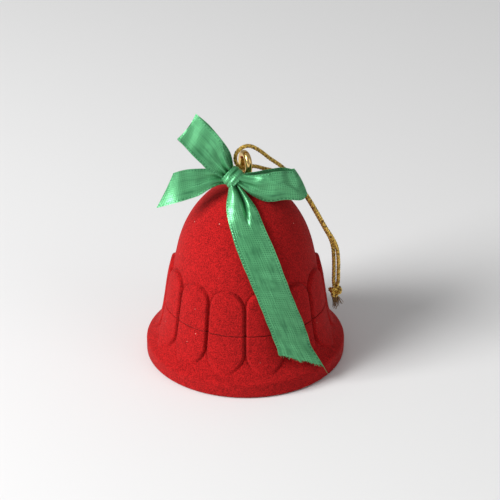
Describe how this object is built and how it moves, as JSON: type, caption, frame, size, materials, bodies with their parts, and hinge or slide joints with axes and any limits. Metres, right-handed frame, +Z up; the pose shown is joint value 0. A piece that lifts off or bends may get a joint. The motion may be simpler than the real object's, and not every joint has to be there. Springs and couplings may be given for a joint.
{
  "type": "bell ornament box",
  "caption": "Bell-shaped flocked Christmas ornament that opens on a rear hinge as a small gift box, with a ribbon bow and a hanging cord on a crown eyelet.",
  "frame": {"origin": "centre of the underside, on the surface that the ornament stands on", "axes": "+Z up through the crown and the eyelet, -Y towards the front where a groove between two petals is centred, +X to the side where the hanging cord lies, hinge at +Y"},
  "size_m": [0.06, 0.06, 0.078],
  "materials": {
    "red_flock": "flocked, velvet-like",
    "underside_flock": "flocked",
    "tray_plastic": "flocked",
    "cushion_velvet": "velvet over foam",
    "lining_satin": "satin",
    "hinge_steel": "plated",
    "gold_wire": "polished gold plate",
    "green_ribbon": "satin ribbon with woven edges",
    "gold_cord": "twisted metallic yarn",
    "cord_core": "frayed core yarn"
  },
  "bodies": {
    "base": {"base_shell": "red_flock", "base_plate": "underside_flock", "pad_tray": "tray_plastic", "ring_pad_front": "cushion_velvet", "ring_pad_back": "cushion_velvet", "hinge_leaf_base": "hinge_steel", "hinge_pin": "hinge_steel"},
    "lid": {"lid_shell": "red_flock", "lid_liner": "lining_satin", "hinge_leaf_lid": "hinge_steel", "eyelet": "gold_wire", "eyelet_collar": "gold_wire", "eyelet_nut": "gold_wire", "ribbon_band": "green_ribbon", "ribbon_knot": "green_ribbon", "ribbon_loop_left": "green_ribbon", "ribbon_loop_right": "green_ribbon", "ribbon_tail_left": "green_ribbon", "ribbon_tail_front": "green_ribbon", "cord_upper": "gold_cord", "cord_lower": "gold_cord", "cord_knot": "gold_cord", "cord_ends": "cord_core"}
  },
  "joints": [
    {"name": "lid_hinge", "type": "hinge", "parent": "base", "child": "lid", "pos_m": [0, 0.024, 0.0172], "axis": [-1, 0, 0], "range_deg": [0, 95]}
  ]
}
